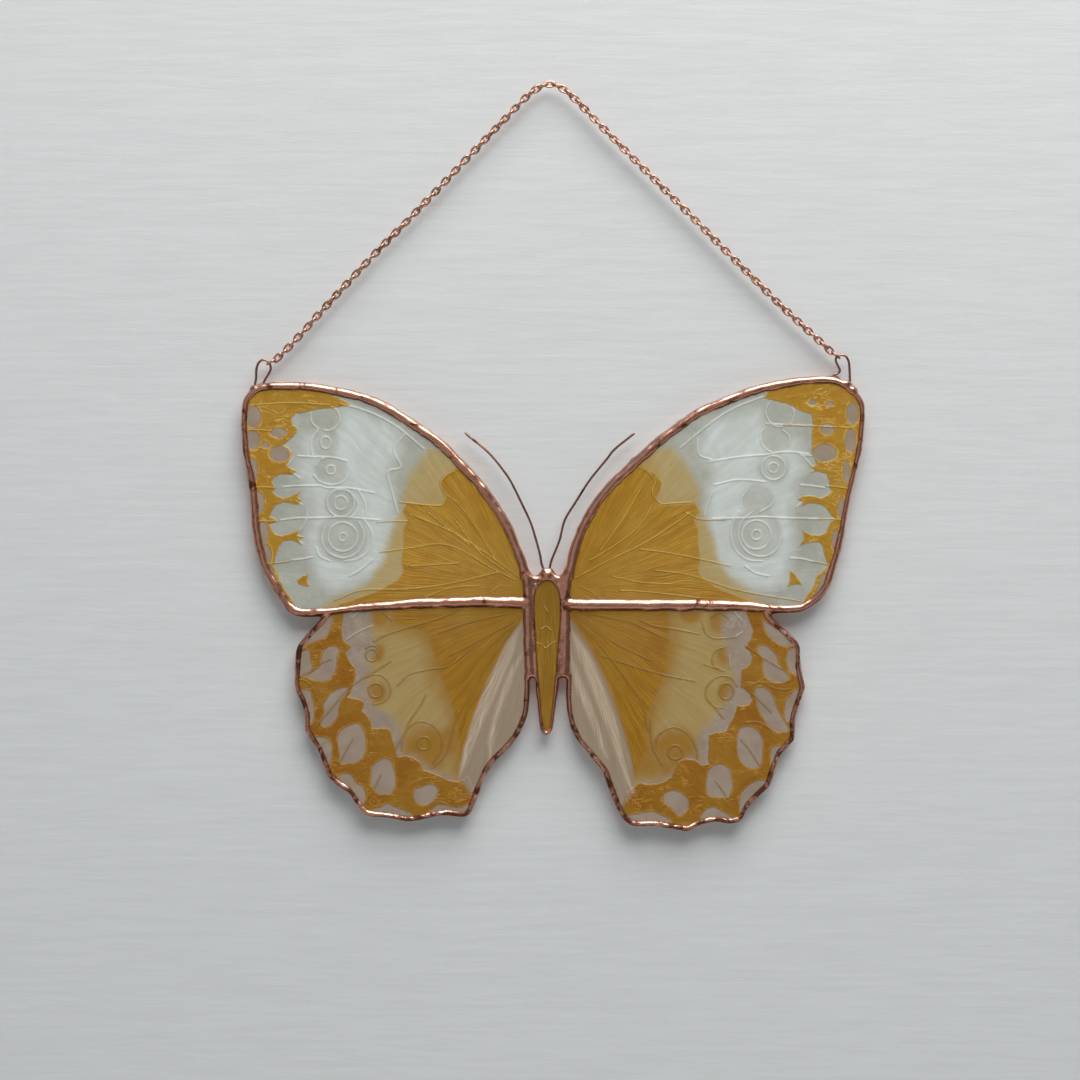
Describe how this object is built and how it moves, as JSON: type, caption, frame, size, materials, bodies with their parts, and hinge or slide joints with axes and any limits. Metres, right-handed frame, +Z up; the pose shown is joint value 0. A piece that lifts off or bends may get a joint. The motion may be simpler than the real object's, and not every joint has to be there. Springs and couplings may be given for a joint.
{
  "type": "stained glass butterfly suncatcher",
  "caption": "Flat butterfly of painted amber and frosted glass in copper-plated solder, with wire antennae, hung by two wire loops from a fine copper chain.",
  "frame": {"origin": "the crown of the chain's bend, on its middle line, where a hook holds it; Y = 0 is the middle of the glass", "axes": "+X runs from the viewer's left wing tip to the right one, -Y out of the front face, +Z up"},
  "size_m": [0.2002, 0.0056, 0.2399],
  "materials": {
    "wing_glass": "painted amber and frosted, with raised lines",
    "body_glass": "painted amber",
    "copper_solder": "copper-plated solder, shiny and pitted",
    "copper_wire": "darkened copper",
    "chain_copper": "bright copper"
  },
  "bodies": {
    "chain": {"chain": "chain_copper", "end_link_left": "chain_copper", "end_link_right": "chain_copper"},
    "butterfly": {"forewing_glass_left": "wing_glass", "forewing_glass_right": "wing_glass", "hindwing_glass_left": "wing_glass", "hindwing_glass_right": "wing_glass", "body_glass": "body_glass", "body_rim": "copper_solder", "forewing_rim_left": "copper_solder", "forewing_rim_right": "copper_solder", "hindwing_rim_left": "copper_solder", "hindwing_rim_right": "copper_solder", "wing_seam_left": "copper_solder", "wing_seam_right": "copper_solder", "antenna_left": "copper_wire", "antenna_right": "copper_wire", "hanging_loop_left": "copper_wire", "hanging_loop_right": "copper_wire"}
  },
  "joints": [
    {"name": "butterfly_swing", "type": "hinge", "parent": "chain", "child": "butterfly", "pos_m": [-0.0908, 0, -0.0893], "axis": [-0.9999, 0, -0.0116], "range_deg": [0, 40]}
  ]
}
